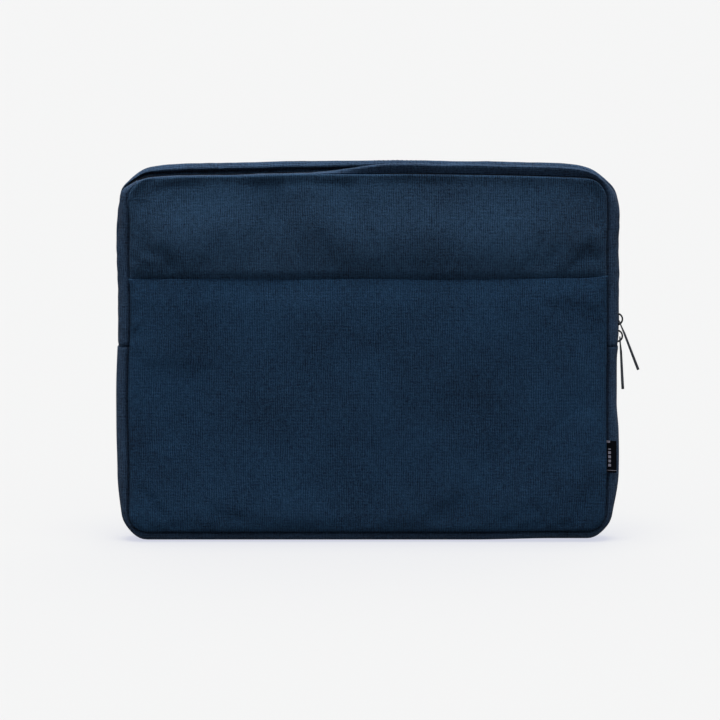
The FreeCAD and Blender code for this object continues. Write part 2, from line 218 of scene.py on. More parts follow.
def make_mesh(name, grids, material, thickness=0.0, weld=True, flip=False, billows=None):
    """An object from grids of (positions in mm, weave coordinates in mm). With a thickness it becomes a
    closed cloth, thickened away from its outer face."""
    points, cloth, faces, first = [], [], [], 0
    for position, uv in grids:
        rows, columns = position.shape[:2]
        faces.append(grid_faces(rows, columns, first))
        points.append(position.reshape(-1, 3))
        cloth.append(uv.reshape(-1, 2))
        first += rows * columns
    points, cloth, faces = (np.concatenate(part) for part in (points, cloth, faces))
    if flip:
        faces = faces[:, ::-1]
    mesh = bpy.data.meshes.new(name)
    mesh.from_pydata((settle(points) * MM).tolist(), [], faces.tolist())
    layer = mesh.uv_layers.new(name="cloth")
    loops = np.zeros(len(mesh.loops), int)
    mesh.loops.foreach_get("vertex_index", loops)
    layer.data.foreach_set("uv", (cloth[loops] * MM).ravel())
    if weld:
        tidy = bmesh.new()
        tidy.from_mesh(mesh)
        bmesh.ops.remove_doubles(tidy, verts=tidy.verts, dist=0.02 * MM)
        bmesh.ops.dissolve_degenerate(tidy, edges=tidy.edges, dist=0.01 * MM)
        tidy.to_mesh(mesh)
        tidy.free()
    piece = bpy.data.objects.new(name, mesh)
    bpy.context.scene.collection.objects.link(piece)
    piece.data.materials.append(material)
    if billows:
        billow(piece, billows)
    if thickness:
        solid = piece.modifiers.new("thickness", "SOLIDIFY")
        solid.thickness = thickness * MM
        solid.offset = -1
        apply_modifiers(piece)
    piece.data.polygons.foreach_set("use_smooth", [True] * len(piece.data.polygons))
    sharpen(piece.data)
    return piece


def billow(piece, reach, frames=20, inward_share=0.3, still=0.02):
    """Stuffs a panel: a cloth simulation under pressure, pinned where it may hardly move. reach gives how
    far, in mm, the cloth may go at points (x, y, z) in mm. Inward it goes only a share of that."""
    mesh, scene = piece.data, bpy.context.scene
    flat = np.empty(len(mesh.vertices) * 3)
    mesh.vertices.foreach_get("co", flat)
    rest = flat.reshape(-1, 3) / MM
    limit = reach(rest)
    pinned = piece.vertex_groups.new(name="pinned")
    pinned.add(np.flatnonzero(limit < still).tolist(), 1.0, "REPLACE")
    cloth = piece.modifiers.new("billow", "CLOTH")
    fabric = cloth.settings
    fabric.quality = 5
    fabric.mass = 0.3
    fabric.tension_stiffness = fabric.compression_stiffness = 20
    fabric.shear_stiffness = 8
    fabric.bending_stiffness = 0.6
    fabric.vertex_group_mass = "pinned"
    fabric.shrink_min = -0.025
    fabric.use_pressure = True
    fabric.uniform_pressure_force = 4
    fabric.effector_weights.gravity = 0
    cloth.point_cache.frame_start, cloth.point_cache.frame_end = 1, frames
    for number in range(1, frames + 1):
        scene.frame_set(number)
    graph = bpy.context.evaluated_depsgraph_get()
    piece.evaluated_get(graph).data.vertices.foreach_get("co", flat)
    move = flat.reshape(-1, 3) / MM - rest
    move[:, 1] *= np.where(move[:, 1] * rest[:, 1] < 0, inward_share, 1.0)
    length = np.linalg.norm(move, axis=1, keepdims=True)
    share = np.tanh(length / np.maximum(limit[:, None], still)) * limit[:, None] / np.maximum(length, 1e-6)
    mesh.vertices.foreach_set("co", ((rest + move * np.minimum(share, 1)) * MM).ravel())
    mesh.update()
    piece.modifiers.clear()
    piece.vertex_groups.clear()
    scene.frame_set(1)


def apply_modifiers(piece):
    graph = bpy.context.evaluated_depsgraph_get()
    graph.update()
    piece.data = bpy.data.meshes.new_from_object(piece.evaluated_get(graph))
    piece.modifiers.clear()


def sharpen(mesh, angle=math.radians(50)):
    """Marks the edges where a cloth's face meets its cut rim."""
    made = bmesh.new()
    made.from_mesh(mesh)
    for edge in made.edges:
        if len(edge.link_faces) == 2:
            edge.smooth = edge.calc_face_angle(0.0) < angle
    made.to_mesh(mesh)
    made.free()


def through(points, count):
    """A smooth line through section points, as count points evenly spaced along it."""
    p = np.array(points, float)
    p = np.vstack([2 * p[0] - p[1], p, 2 * p[-1] - p[-2]])
    fine = []
    for i in range(1, len(p) - 2):
        t = np.linspace(0, 1, 16, endpoint=i == len(p) - 3)[:, None]
        a, b, c, d = p[i - 1], p[i], p[i + 1], p[i + 2]
        fine.append(
            0.5 * (2 * b + (c - a) * t + (2 * a - 5 * b + 4 * c - d) * t**2 + (3 * b - 3 * c + d - a) * t**3)
        )
    fine = np.concatenate(fine)
    reach = lengths(fine)
    at = np.linspace(0, reach[-1], count)
    return np.stack([np.interp(at, reach, fine[:, k]) for k in (0, 1)], -1)


def sweep(s, sections):
    """Positions and weave coordinates of sections (one per s, or one for all) along the seam line."""
    point, outward = seam(s)
    sections = np.broadcast_to(sections, (len(s),) + np.shape(sections)[-2:])
    out, y = sections[..., 0], sections[..., 1]
    flat = point[:, None, :] + outward[:, None, :] * out[..., None]
    position = np.stack([flat[..., 0], y, flat[..., 1]], -1)
    reach = np.linalg.norm(np.diff(sections, axis=1), axis=2)
    across = np.concatenate([np.zeros((len(s), 1)), np.cumsum(reach, axis=1)], axis=1)
    uv = np.stack([across, np.broadcast_to(s[:, None], across.shape)], -1)
    return position, uv


def along(start, end, step):
    return np.linspace(start, end, int(round((end - start) / step)) + 1)


# ---- materials ----
class Shader:
    """A node material, with short calls for the arithmetic of its pattern."""

    def __init__(self, name):
        self.material = bpy.data.materials.new(name)
        self.material.use_nodes = True
        self.tree = self.material.node_tree
        self.surface = self.tree.nodes["Principled BSDF"]

    def node(self, kind, inputs=(), **settings):
        made = self.tree.nodes.new(kind)
        for key, value in settings.items():
            setattr(made, key, value)
        for key, value in dict(inputs).items():
            self.put(made.inputs[key], value)
        return made

    def put(self, socket, value):
        if isinstance(value, bpy.types.NodeSocket):
            self.tree.links.new(value, socket)
        else:
            socket.default_value = value

    def math(self, operation, *values):
        made = self.node("ShaderNodeMath", operation=operation)
        for socket, value in zip(made.inputs, values):
            self.put(socket, value)
        return made.outputs[0]

    def times(self, a, b):
        return self.math("MULTIPLY", a, b)

    def plus(self, a, b):
        return self.math("ADD", a, b)

    def noise(self, scale, where, detail=3.0, roughness=0.55):
        inputs = {"Vector": where, "Scale": scale, "Detail": detail, "Roughness": roughness}
        return self.node("ShaderNodeTexNoise", inputs).outputs["Fac"]

    def range(self, value, low, high, to_low=0.0, to_high=1.0):
        inputs = {"Value": value, "From Min": low, "From Max": high, "To Min": to_low, "To Max": to_high}
        return self.node("ShaderNodeMapRange", inputs).outputs["Result"]

    def mix(self, share, low, high):
        made = self.node("ShaderNodeMix", data_type="RGBA")
        self.put(made.inputs["Factor"], share)
        self.put(made.inputs["A"], low)
        self.put(made.inputs["B"], high)
        return made.outputs["Result"]

    def cloth_mm(self):
        """The weave coordinates in millimetres, and their two parts."""
        uv = self.node("ShaderNodeUVMap", uv_map="cloth").outputs["UV"]
        scaled = self.node("ShaderNodeVectorMath", {0: uv, 1: (1000, 1000, 1000)}, operation="MULTIPLY")
        parts = self.node("ShaderNodeSeparateXYZ", {0: scaled.outputs[0]}).outputs
        return scaled.outputs[0], parts["X"], parts["Y"]

    def finish(self, colour, height, depth, **fixed):
        """Joins colour and relief to the surface. depth is the relief's full height in metres."""
        self.put(self.surface.inputs["Base Color"], colour)
        bump = self.node("ShaderNodeBump", {"Height": height, "Distance": depth, "Strength": 1.0})
        self.put(self.surface.inputs["Normal"], bump.outputs[0])
        for key, value in fixed.items():
            self.put(self.surface.inputs[key.replace("_", " ")], value)
        return self.material


def rgb(red, green, blue):
    return (red, green, blue, 1.0)


def woven(name, dark, light, pitch=(0.86, 0.82), heavy=(2, 3), rib=0.36, bar=0.16, depth=0.00028, **fixed):
    """Plain weave whose every few threads are heavier, which gives a fine grain of ribs."""
    m = Shader(name)
    where, u, v = m.cloth_mm()
    drift_u, drift_v = m.noise(0.03, where, 2.0), m.noise(0.045, where, 2.0)
    warp = m.math("DIVIDE", m.plus(u, m.times(drift_u, 3.0)), pitch[0])
    weft = m.math("DIVIDE", m.plus(v, m.times(drift_v, 3.0)), pitch[1])
    wave_u = m.math("SINE", m.times(warp, math.pi))
    wave_v = m.math("SINE", m.times(weft, math.pi))
    over = m.range(m.times(wave_u, wave_v), -0.35, 0.35)
    under = m.math("SUBTRACT", 1.0, over)

    def crest(wave, on_top):
        shown = m.plus(m.times(on_top, 0.6), 0.4)
        return m.times(m.math("ABSOLUTE", wave), shown)

    thread = m.math("MAXIMUM", crest(wave_u, over), crest(wave_v, under))
    # each thread has its own thickness, which drifts along its length
    own_u = m.node("ShaderNodeCombineXYZ", {0: m.times(m.math("FLOOR", warp), 7.31),
                                            1: m.times(v, 0.2)})
    own_v = m.node("ShaderNodeCombineXYZ", {0: m.times(u, 0.2),
                                            1: m.times(m.math("FLOOR", weft), 5.17)})
    slub_u = m.range(m.noise(1.0, own_u.outputs[0], 2.0), 0.25, 0.75, -1.0, 1.0)
    slub_v = m.range(m.noise(1.0, own_v.outputs[0], 2.0), 0.25, 0.75, -1.0, 1.0)
    ribs = m.math("COSINE", m.times(warp, 2 * math.pi / heavy[0]))
    bars = m.math("COSINE", m.times(weft, 2 * math.pi / heavy[1]))
    ribs = m.times(ribs, m.range(m.noise(0.09, where, 3.0), 0.35, 0.62, 0.15, 1.25))
    bars = m.times(bars, m.range(m.noise(0.12, where, 3.0), 0.4, 0.65, 0.0, 1.3))
    height = m.plus(m.times(ribs, rib), m.times(bars, bar))
    height = m.plus(height, m.times(thread, 0.5))
    slubs = m.plus(slub_u, m.times(slub_v, 0.7))
    height = m.plus(height, m.times(slubs, 0.4))
    fuzz = m.range(m.noise(0.8, where, 4.0, 0.8), 0.3, 0.7, -1.0, 1.0)
    height = m.plus(height, m.times(fuzz, 0.62))
    patch = m.range(m.noise(0.014, where, 3.0), 0.3, 0.7, -0.25, 0.25)
    share = m.range(m.plus(height, patch), -0.6, 1.7)
    m.put(m.surface.inputs["Roughness"], m.range(height, -0.2, 1.6, 0.85, 0.66))
    return m.finish(m.mix(share, dark, light), height, depth, **fixed)


def ribbed(name, dark, light, pitch=1.1, depth=0.0001, **fixed):
    """Narrow tape: fine ribs across its length, in a herringbone of two directions."""
    m = Shader(name)
    where, u, v = m.cloth_mm()
    zigzag = m.math("PINGPONG", u, 1.5)
    rows = m.math("SINE", m.times(m.plus(v, zigzag), 2 * math.pi / pitch))
    cords = m.math("SINE", m.times(u, 2 * math.pi / 0.75))
    fuzz = m.noise(2.5, where, 3.0)
    height = m.plus(m.times(rows, 0.35), m.times(cords, 0.2))
    height = m.plus(height, fuzz)
    share = m.range(height, 0.0, 1.1)
    m.put(m.surface.inputs["Roughness"], m.range(fuzz, 0.3, 0.7, 0.78, 0.6))
    return m.finish(m.mix(share, dark, light), height, depth, **fixed)


def painted_metal(name, dark, worn):
    """Dark lacquered die-cast metal, rubbed brighter along its edges."""
    m = Shader(name)
    where = m.node("ShaderNodeTexCoord").outputs["Object"]
    grain = m.noise(900.0, where, 4.0, 0.6)
    smear = m.noise(160.0, where, 3.0)
    edge = m.range(m.node("ShaderNodeNewGeometry").outputs["Pointiness"], 0.505, 0.56)
    rub = m.times(edge, m.range(smear, 0.35, 0.65, 0.25, 1.0))
    m.put(m.surface.inputs["Roughness"], m.range(smear, 0.3, 0.7, 0.22, 0.42))
    colour = m.mix(m.math("MINIMUM", rub, 1.0), dark, worn)
    return m.finish(colour, grain, 0.00002, Metallic=0.2, Specular_IOR_Level=0.3)


def nylon(name, dark, light):
    """Moulded coil: smooth dark monofilament with a slight bloom."""
    m = Shader(name)
    where = m.node("ShaderNodeTexCoord").outputs["Object"]
    bloom = m.noise(400.0, where, 3.0)
    m.put(m.surface.inputs["Roughness"], m.range(bloom, 0.3, 0.7, 0.45, 0.65))
    return m.finish(m.mix(bloom, dark, light), bloom, 0.00002, Specular_IOR_Level=0.05)


def foam(name, dark, light):
    """Open-cell foam."""
    m = Shader(name)
    where = m.node("ShaderNodeTexCoord").outputs["Object"]
    cells = m.node("ShaderNodeTexVoronoi", {"Vector": where, "Scale": 1400.0}).outputs["Distance"]
    grime = m.noise(60.0, where)
    share = m.times(m.range(cells, 0.0, 0.6), m.range(grime, 0.3, 0.7, 0.7, 1.0))
    return m.finish(m.mix(share, dark, light), cells, 0.0003, Roughness=0.95)


def label_cloth(name, height):
    """Satin label: dark field with a pale mark at its top, a thin line and a row of plain squares."""
    m = Shader(name)
    where, u, v = m.cloth_mm()
    satin = m.math("SINE", m.times(v, 2 * math.pi / 0.32))
    slant = m.plus(u, m.times(v, 0.5))
    cross = m.math("SINE", m.times(slant, 2 * math.pi / 0.5))
    relief = m.plus(m.times(satin, 0.5), m.times(cross, 0.25))

    def band(value, low, high):
        return m.times(m.math("GREATER_THAN", value, low), m.math("LESS_THAN", value, high))

    top = m.times(band(v, height - 1.6, height + 1.0), m.math("LESS_THAN", u, 3.4))
    step = m.math("PINGPONG", m.math("SUBTRACT", v, 4.0), 1.6)
    squares = m.times(band(u, 1.9, 3.9), band(step, 0.6, 1.7))
    squares = m.times(squares, band(v, 4.0, height - 6.0))
    lines = band(v, 1.6, 1.9)
    pale = m.math("MINIMUM", m.plus(m.plus(top, squares), lines), 1.0)
    wear = m.range(m.noise(0.8, where), 0.3, 0.7, 0.75, 1.0)
    colour = m.mix(m.times(pale, wear), rgb(0.003, 0.004, 0.007), rgb(0.4, 0.39, 0.48))
    return m.finish(colour, relief, 0.00008, Roughness=0.6, Specular_IOR_Level=0.05)


SHEEN = {
    "Sheen_Weight": 0.05, "Sheen_Roughness": 0.25, "Sheen_Tint": rgb(1.0, 0.94, 1.0),
    "Specular_IOR_Level": 0.28,
}
# the walls, the sides and the pocket are one fabric; the walls' copy is brighter than the pocket's, painted
# light from overhead
OUTER = woven("outer_cloth", rgb(0.0006, 0.0068, 0.0215), rgb(0.041, 0.127, 0.259), **SHEEN)
# the gusset's and zip strips' copy of the outer cloth, paler and redder: painted sheen for the grazing light
# on the sides
SIDES_PAINTED_SHEEN = woven("outer_cloth_sides_painted_sheen", rgb(0.0014, 0.0075, 0.0225), rgb(0.06, 0.136, 0.266), **SHEEN)
# the pocket's and its hem's darker copy of the outer cloth: painted shade, as the pocket gets less of the
# overhead light
POCKET_PAINTED_SHADE = woven(
    "outer_cloth_pocket_painted_shade", rgb(0.0003, 0.0062, 0.02), rgb(0.029, 0.107, 0.233), Specular_IOR_Level=0.22
)
LINING = woven(
    "lining_cloth", rgb(0.011, 0.018, 0.033), rgb(0.04, 0.058, 0.095), pitch=(0.42, 0.45), heavy=(4, 6),
    rib=0.3, bar=0.2, depth=0.00008, Sheen_Weight=0.06, Sheen_Roughness=0.5, Specular_IOR_Level=0.4,
)
FOAM = foam("padding_foam", rgb(0.05, 0.052, 0.058), rgb(0.16, 0.165, 0.18))
# near-black tape, its own dark colour darkened further: partly painted shade for the zip's recess between
# the strips
TAPE_WITH_PAINTED_SHADE = ribbed("zip_tape", rgb(0.002, 0.0035, 0.008), rgb(0.007, 0.012, 0.024), Specular_IOR_Level=0.0)
BINDING = ribbed(
    "seam_tape", rgb(0.005, 0.01, 0.02), rgb(0.02, 0.036, 0.06), pitch=1.6, depth=0.00015, Sheen_Weight=0.08
)
COIL = nylon("zip_coil", rgb(0.002, 0.004, 0.009), rgb(0.005, 0.008, 0.016))
ZIP_METAL = painted_metal("zip_metal", rgb(0.012, 0.015, 0.022), rgb(0.16, 0.17, 0.19))
PULL_METAL = painted_metal("pull_metal", rgb(0.01, 0.013, 0.02), rgb(0.1, 0.11, 0.13))
THREAD = woven(
    "thread", rgb(0.01, 0.022, 0.042), rgb(0.035, 0.065, 0.11), pitch=(0.16, 0.3), heavy=(2, 2),
    rib=0.2, bar=0.2, depth=0.00003, Roughness=0.6,
)
LABEL = label_cloth("label_cloth", LABEL_HIGH[2] - LABEL_LOW[2])


# ---- panels: a ring of rows inside the seam line, and a plain grid in the middle ----
ACROSS, UPWARD, ROUND = 116, 82, 14


def ring_rows(insets, top=None):
    """Rows of points (x, z) parallel to the seam line, from its given insets. With a top they are open
    there, and run down the left, along the bottom and up the right."""
    rows = []
    for inset in insets:
        share = min(inset / PATCH_DEPTH, 1.0)
        r_low, r_top = R_LOW * (1 - share), R_TOP * (1 - share)
        x, low, high = HALF - inset, LOW + inset, HIGH - inset
        side_top = high - r_top if top is None else top
        t_across = np.linspace(0, 1, ACROSS + 1)[:-1, None]
        t_up = np.linspace(0, 1, UPWARD + 1)[:-1, None]
        t_round = np.linspace(0, QUARTER, ROUND + 1)[:-1]

        def run(t, start, end):
            return np.array(start) * (1 - t) + np.array(end) * t

        def bend(cx, cz, r, start):
            return np.stack([cx + r * np.cos(start + t_round), cz + r * np.sin(start + t_round)], -1)

        bottom = run(t_across, (r_low - x, low), (x - r_low, low))
        low_right = bend(x - r_low, low + r_low, r_low, -QUARTER)
        right = run(t_up, (x, low + r_low), (x, side_top))
        left_low = bend(r_low - x, low + r_low, r_low, 2 * QUARTER)
        left = run(t_up, (-x, side_top), (-x, low + r_low))
        if top is None:
            high_right = bend(x - r_top, high - r_top, r_top, 0.0)
            over = run(t_across, (x - r_top, high), (r_top - x, high))
            high_left = bend(r_top - x, high - r_top, r_top, QUARTER)
            parts = [bottom, low_right, right, high_right, over, high_left, left, left_low, bottom[:1]]
        else:
            parts = [left, left_low, bottom, low_right, right, [(x, side_top)]]
        rows.append(np.concatenate(parts))
    return np.array(rows)


def middle_grid(top=None):
    x = np.linspace(PATCH_DEPTH - HALF, HALF - PATCH_DEPTH, ACROSS + 1)
    z = np.linspace(LOW + PATCH_DEPTH, HIGH - PATCH_DEPTH if top is None else top, UPWARD + 1)
    grid_z, grid_x = np.meshgrid(z, x, indexing="ij")
    return np.stack([grid_x, grid_z], -1)


def rows_uv(rows, insets, reach):
    """Weave coordinates of a panel's rows: flat, with the rolled edge laid out past the seam line."""
    centre = np.array([0.0, (LOW + HIGH) / 2])
    spare = (np.array(insets) - np.array(reach))[:, None, None]
    box = np.array([HALF - PATCH_DEPTH, (HIGH - LOW) / 2 - PATCH_DEPTH])
    inner = np.clip(rows - centre, -box, box)
    away = rows - centre - inner
    away = away / np.maximum(np.linalg.norm(away, axis=-1, keepdims=True), 1e-6)
    return rows + away * spare


def crown(xz, power=2.6):
    """1 in the middle of a panel, falling to 0 at the seam line."""
    x, z = xz[..., 0] / HALF, (2 * xz[..., 1] - LOW - HIGH) / (HIGH - LOW)
    return np.clip(1 - np.abs(x) ** power, 0, 1) * np.clip(1 - np.abs(z) ** power, 0, 1)


def panel(profile, depth, sign, top=None):
    """Grids of one panel. profile lists (inset, depth) from the tucked edge to the flat; depth gives the
    extra depth at points (x, z) and insets. sign is -1 for the front, 1 for the back."""
    insets, levels = np.array(profile).T
    reach = np.concatenate([[0], np.cumsum(np.hypot(np.diff(insets), np.diff(levels)))])
    reach = reach - reach[-1] + insets[-1]
    rows, grid = ring_rows(insets, top), middle_grid(top)
    ring_y = levels[:, None] + depth(rows, insets[:, None] + 0 * rows[..., 0])
    grid_y = levels[-1] + depth(grid, PATCH_DEPTH + 0 * grid[..., 0])
    uv = rows_uv(rows, insets, reach)
    ring = np.stack([rows[..., 0], sign * ring_y, rows[..., 1]], -1)
    flat = np.stack([grid[..., 0], sign * grid_y, grid[..., 1]], -1)
    return [(ring, uv), (flat, grid)]


# profiles (inset, depth) from the edge tucked into the seam, over the rolled edge, to the flat
WALL_FLAT, POCKET_FLAT = 15.5, 17.7
WALL_EDGE = [
    (2.8, 10.3), (2.3, 10.5), (1.85, 11.1), (1.45, 12.0), (1.15, 13.0), (1.15, 13.9), (1.55, 14.5),
    (2.4, 14.85), (3.8, 15.1), (5.6, 15.3), (7.8, 15.42), (10.6, WALL_FLAT), (13.2, WALL_FLAT),
    (15.8, WALL_FLAT), (PATCH_DEPTH, WALL_FLAT),
]
POCKET_EDGE = [
    (2.8, 10.5), (2.1, 10.9), (1.6, 11.7), (1.15, 12.8), (0.85, 14.1), (0.9, 15.3), (1.4, 16.2),
    (2.4, 16.75), (3.8, 17.15), (5.6, 17.42), (7.8, 17.58), (10.6, POCKET_FLAT), (13.2, POCKET_FLAT),
    (15.8, POCKET_FLAT), (PATCH_DEPTH, POCKET_FLAT),
]

# hollows in the front wall: (x, z, half width, half height, depth)
FRONT_HOLLOWS = [
    (-149, 211, 7, 7, 1.7), (-166, 216, 6, 4, -0.8), (-163, 205, 6, 3, -0.5), (-170, 225, 4, 9, 0.5),
    (171, 243, 9, 4, 1.1), (168, 218, 10, 6, 1.4), (160, 230, 9, 4, -0.4), (150, 240, 14, 9, 0.3),
    (-120, 232, 22, 10, 0.25),
]


def hollows(xz, places):
    x, z = xz[..., 0], xz[..., 1]
    return sum(d * np.exp(-(((x - cx) / w) ** 2) - ((z - cz) / h) ** 2) for cx, cz, w, h, d in places)


def wall_depth(seed, height=1.3):
    """Depth of a padded wall beyond its profile: crown, slow waves, and puckers that die away inwards.
    They start from the given seed."""

    def depth(xz, inset):
        x, z = xz[..., 0], xz[..., 1]
        ramp = smooth(inset / 10)
        pucker = np.exp(-((inset - 4.5) / 5.5) ** 2)
        slow = 0.32 * waves(x, z, 120, seed) + 0.16 * waves(x, z, 48, seed + 1)
        near = 0.2 * waves(x, z, 15, seed + 2) * (0.6 + 0.4 * waves(x, z, 90, seed + 3))
        return height * crown(xz) * ramp + slow * ramp + near * pucker

    return depth


def front_depth(xz, inset):
    """The front wall swells above the pocket's mouth, which holds it in, and leans back to the top."""
    z = xz[..., 1]
    ramp = smooth(inset / 10)
    above = z - POCKET_TOP
    swell = FRONT_SWELL * np.exp(-((above - 27) / 26) ** 2) - FRONT_LEAN * smooth((above - 28) / 46)
    held = FRONT_HELD * np.exp(-((above + 2) / 18) ** 2)
    hem_spread = np.where(above < -1.6, 9.0, 3.7)  # wide behind the pocket, narrow above its mouth
    hem = HEM_RECESS * np.exp(-((above + 1.6) / hem_spread) ** 2) * smooth(inset / 9)
    return wall_depth(11, 0.9)(xz, inset) + ramp * (swell - held - hollows(xz, FRONT_HOLLOWS)) - hem


back_depth = wall_depth(31)


def blend_mouth(piece):
    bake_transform(piece)


def place(piece, slot, *nodes, bends=False):
    """Hides the CAD nodes that a piece replaces, and bakes its placement into its mesh or lets it ride on
    the sleeve. slot is not used."""
    if nodes:
        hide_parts(*nodes)
    if bends:
        blend_mouth(piece)
    else:
        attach(piece, "sleeve")


def free_of_seams(p):
    """0 along a panel's seams, rising to 1 inside."""
    x, z = np.abs(p[:, 0]), p[:, 2]
    inset = np.minimum(np.minimum(HALF - x, z - LOW), HIGH - z)
    return smooth((inset - 2.5) / 12)


def front_wall():
    def reach(p):
        return FRONT_REACH * free_of_seams(p) * smooth((p[:, 2] - POCKET_TOP - 4) / 12)

    grids = panel(WALL_EDGE, front_depth, -1)
    piece = make_mesh("front_wall_cloth", grids, OUTER, CLOTH_T, billows=reach)
    place(piece, "outer_cloth", "front_shell_lower", "front_shell_flap", bends=True)


def back_wall():
    def reach(p):
        return BACK_REACH * free_of_seams(p)

    grids = panel(WALL_EDGE, back_depth, 1)
    piece = make_mesh("back_wall_cloth", grids, OUTER, CLOTH_T, flip=True, billows=reach)
    place(piece, "outer_cloth", "back_shell")


def inner_profile(level, start):
    """A flat layer's profile, from its rounded edge at an inset to the middle."""
    steps = [(0.0, -0.5), (0.3, -0.15), (0.9, 0.0), (2.0, 0.0), (4.5, 0.0), (9.0, 0.0), (13.0, 0.0)]
    edge = [(start + inset, level + rise) for inset, rise in steps if start + inset < PATCH_DEPTH - 1]
    return edge + [(PATCH_DEPTH, level)]


def padding(name, sign, follow, nodes):
    """Foam that follows the outer cloth's depth."""
    profile = inner_profile(13.0, 2.6)
    grids = panel(profile, lambda xz, inset: 0.75 * follow(xz, inset) * smooth((inset - 2) / 8), sign)
    piece = make_mesh(name, grids, FOAM, FOAM_T, flip=sign > 0)
    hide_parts(*nodes)
    return piece


def lining(name, sign, seed, nodes):
    """Lining of a wall, seen from inside the compartment."""

    def depth(xz, inset):
        x, z = xz[..., 0], xz[..., 1]
        return 0.12 * waves(x, z, 70, seed) + 0.06 * waves(x, z, 25, seed + 1)

    grids = panel(inner_profile(CAVITY_Y + 0.15, 2.2), depth, sign)
    piece = make_mesh(name, grids, LINING, -0.5, flip=sign > 0)
    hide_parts(*nodes)
    return piece


# ---- pocket ----
def pocket_rise(x):
    """How the pocket's mouth dips and rises along its width."""
    return 0.5 * (x / HALF) ** 2 + 2.2 * smooth((x - 150) / 31) ** 2 + 0.25 * waves(x, 0 * x, 90, 61)


def pocket_depth(xz, inset):
    x, z = xz[..., 0], xz[..., 1]
    ramp = smooth(inset / 9)
    pucker = np.exp(-((inset - 4.5) / 5.5) ** 2)
    at_mouth = np.clip((z - POCKET_TOP + 17) / 17, 0, 1) ** 1.8
    lean = POCKET_LEAN * smooth((z - 160) / 40) + MOUTH_LEAN * at_mouth
    slow = 0.3 * waves(x, z, 130, 41) + 0.14 * waves(x, z, 50, 42)
    near = 0.22 * waves(x, z, 16, 43) * (0.6 + 0.4 * waves(x, z, 90, 44))
    return (0.9 * crown(xz) + slow - lean) * ramp + near * pucker


def lifted(grids):
    """The pocket's rows moved so that its mouth follows pocket_rise."""
    for position, _ in grids:
        share = smooth((position[..., 2] - POCKET_TOP + 50) / 50)
        position[..., 2] += pocket_rise(position[..., 0]) * share
    return grids


def turned_over(ring, flat, radius, tail):
    """Rows that carry the pocket's mouth over a rounded fold and down inside by tail."""
    (ring_p, ring_uv), (flat_p, flat_uv) = ring, flat
    edge = np.concatenate([ring_p[:, 0], flat_p[-1, 1:-1], ring_p[::-1, -1]])
    edge_uv = np.concatenate([ring_uv[:, 0], flat_uv[-1, 1:-1], ring_uv[::-1, -1]])
    rows, uvs, reach = [], [], 0.0
    turns = [(radius * math.sin(a), radius * (1 - math.cos(a))) for a in np.linspace(0, math.pi, 9)]
    turns += [(-tail * t, 2 * radius) for t in (0.15, 0.5, 1.0)]
    last = turns[0]
    for rise, inward in turns:
        reach += math.dist((rise, inward), last)
        last = (rise, inward)
        rows.append(edge + np.array([0, inward, rise]))
        uvs.append(edge_uv + np.array([0, reach]))
    return np.array(rows), np.array(uvs)


def pocket():
    ring, flat = panel(POCKET_EDGE, pocket_depth, -1, top=POCKET_TOP - 0.9)
    ring, flat = lifted([ring, flat])
    fold = turned_over(ring, flat, MOUTH_RADIUS, 2.5)

    def reach(p):
        return POCKET_REACH * free_of_seams(p) * smooth((POCKET_TOP - 8 - p[:, 2]) / 14)

    piece = make_mesh("pocket_cloth", [ring, flat, fold], POCKET_PAINTED_SHADE, POCKET_T, billows=reach)
    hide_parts("pocket_panel")
    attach(piece, "sleeve")

    def lining_depth(xz, inset):
        return pocket_depth(xz, inset) - POCKET_LINING_DEPTH

    edge = [(inset, POCKET_FLAT) for inset in (5.2, 7.8, 10.6, 13.4, PATCH_DEPTH)]
    inner = lifted(panel(edge, lining_depth, -1, top=POCKET_TOP - 3.2))
    piece = make_mesh("pocket_lining_cloth", inner, LINING, 0.3)
    place(piece, "lining_cloth", "pocket_lining")

    x = np.linspace(4.2 - HALF, HALF - 4.2, ACROSS)
    z = np.linspace(POCKET_TOP - 12.5, POCKET_TOP - 2.6, 10)
    grid_z, grid_x = np.meshgrid(z, x, indexing="ij")
    xz = np.stack([grid_x, grid_z], -1)
    y = -(POCKET_FLAT + pocket_depth(xz, 20 + 0 * grid_x) - POCKET_LINING_DEPTH)
    hem = lifted([(np.stack([grid_x, y, grid_z], -1), xz)])
    piece = make_mesh("pocket_hem_cloth", hem, POCKET_PAINTED_SHADE, 0.45, flip=True)
    place(piece, "outer_cloth", "pocket_hem")


# ---- gusset ----
def gusset_bulge(s):
    """How far the gusset stands out from the seam line: less towards the bottom corners, flat below."""
    point, outward = seam(s)
    low = np.clip(-outward[:, 1], 0, 1)
    narrow = 1 - smooth((point[:, 1] - 8) / 44)
    side = GUSSET_BULGE - GUSSET_NARROW * narrow
    flat = smooth((low - 0.4) / 0.6) * smooth((HALF - np.abs(point[:, 0])) / 13)
    return side * (1 - flat) + GUSSET_BULGE_LOW * flat


def gusset_sections(s):
    """The closed gusset's outer line at each s: tucked into the front seam, bulging, tucked in behind."""
    point, outward = seam(s)
    edge = np.minimum(s, SEAM_LENGTH - s)
    bulge = gusset_bulge(s) + LAP_LIFT * smooth((edge - LAP_S + 8) / 8)
    bulge = bulge - PULL_ROOM * smooth((point[:, 0] - 100) / 50) * smooth((point[:, 1] - 84) / 22)
    bulge = bulge + 0.18 * waves(s, 0 * s, 45, 71) * np.clip(1 + outward[:, 1], 0, 1)
    t = np.linspace(-QUARTER, QUARTER, 27)[None, 2:-2]
    out = bulge[:, None] * np.abs(np.cos(t)) ** 0.95
    y = GUSSET_HALF * np.sign(np.sin(t)) * np.abs(np.sin(t)) ** 0.66 + 0 * out
    front = np.array([(-2.4, -10.1), (-1.4, -10.1), (-0.5, -10.4), (0.2, -11.2), (0.8, -12.2)])
    back = front[::-1] * (1, -1)
    n, ends = len(s), front.shape
    joined = [np.broadcast_to(front, (n, *ends)), np.stack([out, y], -1), np.broadcast_to(back, (n, *ends))]
    return np.concatenate(joined, axis=1)


